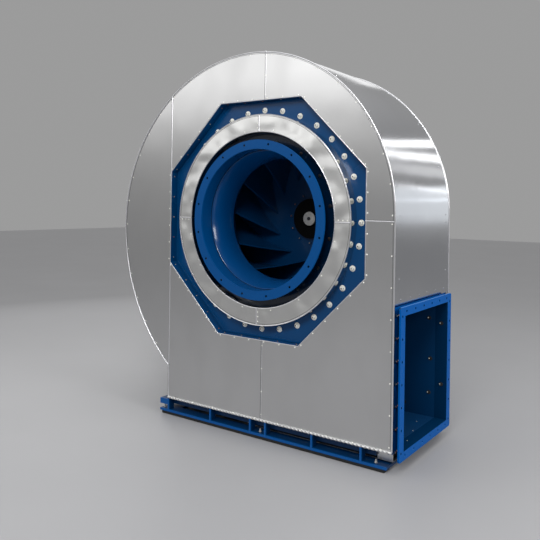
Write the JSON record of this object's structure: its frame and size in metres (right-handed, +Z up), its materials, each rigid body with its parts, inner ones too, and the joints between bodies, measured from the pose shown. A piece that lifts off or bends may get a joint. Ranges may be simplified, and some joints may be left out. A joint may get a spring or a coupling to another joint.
{
  "type": "centrifugal fan",
  "caption": "Insulated centrifugal fan with scroll casing, round flanged inlet, rectangular side discharge and bare shaft end on a bearing pedestal.",
  "frame": {"origin": "centre of the inlet flange's face, on the shaft axis", "axes": "+Y along the shaft from the inlet to the drive end, +X to the discharge, +Z up"},
  "size_m": [1.734, 1.38, 1.944],
  "materials": {
    "cladding": "satin",
    "blue_paint": "gloss",
    "wool": "matte",
    "zinc": "satin",
    "bright_steel": "satin",
    "bearing_steel": "polished",
    "black_iron": "satin",
    "grey_iron": "satin",
    "rubber": "matte"
  },
  "bodies": {
    "casing": {"front_panel_left": "cladding", "front_panel_upper_left": "cladding", "front_panel_upper_right": "cladding", "front_panel_lower_left": "cladding", "front_panel_lower_right": "cladding", "rear_panel_left": "cladding", "rear_panel_right": "cladding", "wrap_outlet_side": "cladding", "wrap_upper_right": "cladding", "wrap_upper_left": "cladding", "wrap_lower_left": "cladding", "belly_tray": "cladding", "inlet_ring_lower_right": "cladding", "inlet_ring_lower_left": "cladding", "inlet_ring_upper_left": "cladding", "inlet_ring_upper_right": "cladding", "inlet_flange": "blue_paint", "inlet_nozzle": "blue_paint", "inlet_cover_plate": "blue_paint", "window_frame": "blue_paint", "front_side_plate": "blue_paint", "rear_side_plate": "blue_paint", "scroll_wrapper": "blue_paint", "cutoff_plate": "blue_paint", "foot_end_plate": "blue_paint", "outlet_frame": "blue_paint", "outlet_stub": "blue_paint", "outlet_flange": "blue_paint", "upper_rails": "blue_paint", "left_side_rail": "blue_paint", "gussets": "blue_paint", "front_foot_plate": "blue_paint", "rear_foot_plate": "blue_paint", "cross_plates": "blue_paint", "pedestal_top": "blue_paint", "pedestal_side_walls": "blue_paint", "pedestal_end_plates": "blue_paint", "pedestal_feet": "blue_paint", "front_insulation": "wool", "rear_insulation": "wool", "scroll_insulation": "wool", "inlet_ring_insulation": "wool", "cover_bolts": "zinc", "outlet_frame_bolts": "zinc", "foot_bolts": "zinc", "bearing_bolts": "zinc", "bearing_outer_rings": "bearing_steel", "bearing_housings": "grey_iron", "bearing_caps": "grey_iron", "shaft_seal": "grey_iron", "foot_strips": "rubber"},
    "rotor": {"shaft": "bright_steel", "shaft_retainer": "bright_steel", "hub": "black_iron", "hub_bolts": "zinc", "impeller_back_plate": "blue_paint", "impeller_blades": "blue_paint", "impeller_shroud": "blue_paint", "bearing_inner_rings": "bearing_steel"}
  },
  "joints": [
    {"name": "rotor_spin", "type": "hinge", "parent": "casing", "child": "rotor", "pos_m": [0, 0, 0], "axis": [0, -1, 0], "continuous": true}
  ]
}
